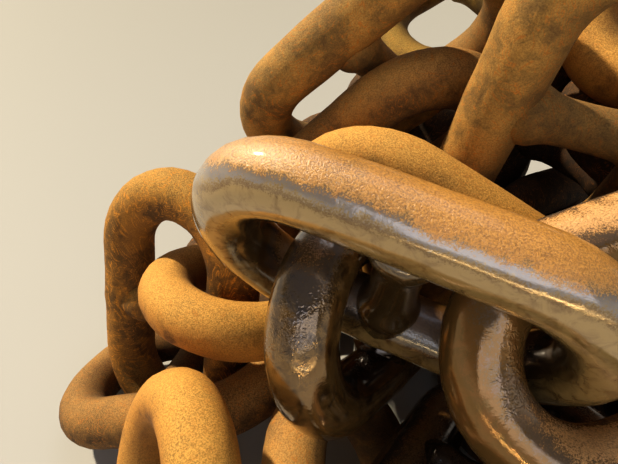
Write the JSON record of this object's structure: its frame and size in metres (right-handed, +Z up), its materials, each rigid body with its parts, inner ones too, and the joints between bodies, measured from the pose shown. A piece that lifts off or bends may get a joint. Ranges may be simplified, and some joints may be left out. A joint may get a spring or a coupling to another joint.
{
  "type": "heap of iron chain",
  "caption": "Heap of thick rusted stud-link chain: oval links with a cross stud, lying crossed and threaded through each other in a rough mound.",
  "frame": {"origin": "on the floor, below the middle of the heap's outline", "axes": "+X along the heap's width, to the right in the picture; +Y away from the viewer; +Z up"},
  "size_m": [2.1286, 1.945, 1.2908],
  "materials": {
    "wet_rust": "glossy wet rust",
    "sunlit_rust": "matte orange rust",
    "dry_rust": "matte brown rust",
    "ochre_rust": "matte ochre rust",
    "dark_rust": "matte dark rust"
  },
  "bodies": {
    "root": {"link_back_left_middle": "dark_rust", "link_back_middle": "dark_rust", "link_back_right_high": "dry_rust", "link_back_right_low": "dark_rust", "link_back_top": "ochre_rust", "link_behind_span": "sunlit_rust", "link_below_hook": "dark_rust", "link_dark_right": "dark_rust", "link_dark_upright": "dark_rust", "link_floor_back": "dark_rust", "link_floor_back_left": "dark_rust", "link_floor_back_right": "dark_rust", "link_floor_front": "dark_rust", "link_floor_front_right": "dark_rust", "link_floor_middle": "dark_rust", "link_floor_right": "dark_rust", "link_front_arch": "sunlit_rust", "link_front_left_hook": "wet_rust", "link_front_right_hook": "wet_rust", "link_front_span": "wet_rust", "link_ground_left": "dry_rust", "link_heart": "dark_rust", "link_left_arch": "sunlit_rust", "link_left_hooked": "sunlit_rust", "link_right_high": "dry_rust", "link_right_low": "dry_rust", "link_right_middle": "dry_rust", "link_top": "sunlit_rust", "link_top_right": "sunlit_rust", "link_under_right_hook": "dark_rust", "link_upper_left": "sunlit_rust", "link_upper_middle": "dry_rust", "link_wet_leaning": "wet_rust", "link_wet_low": "wet_rust"}
  },
  "joints": []
}
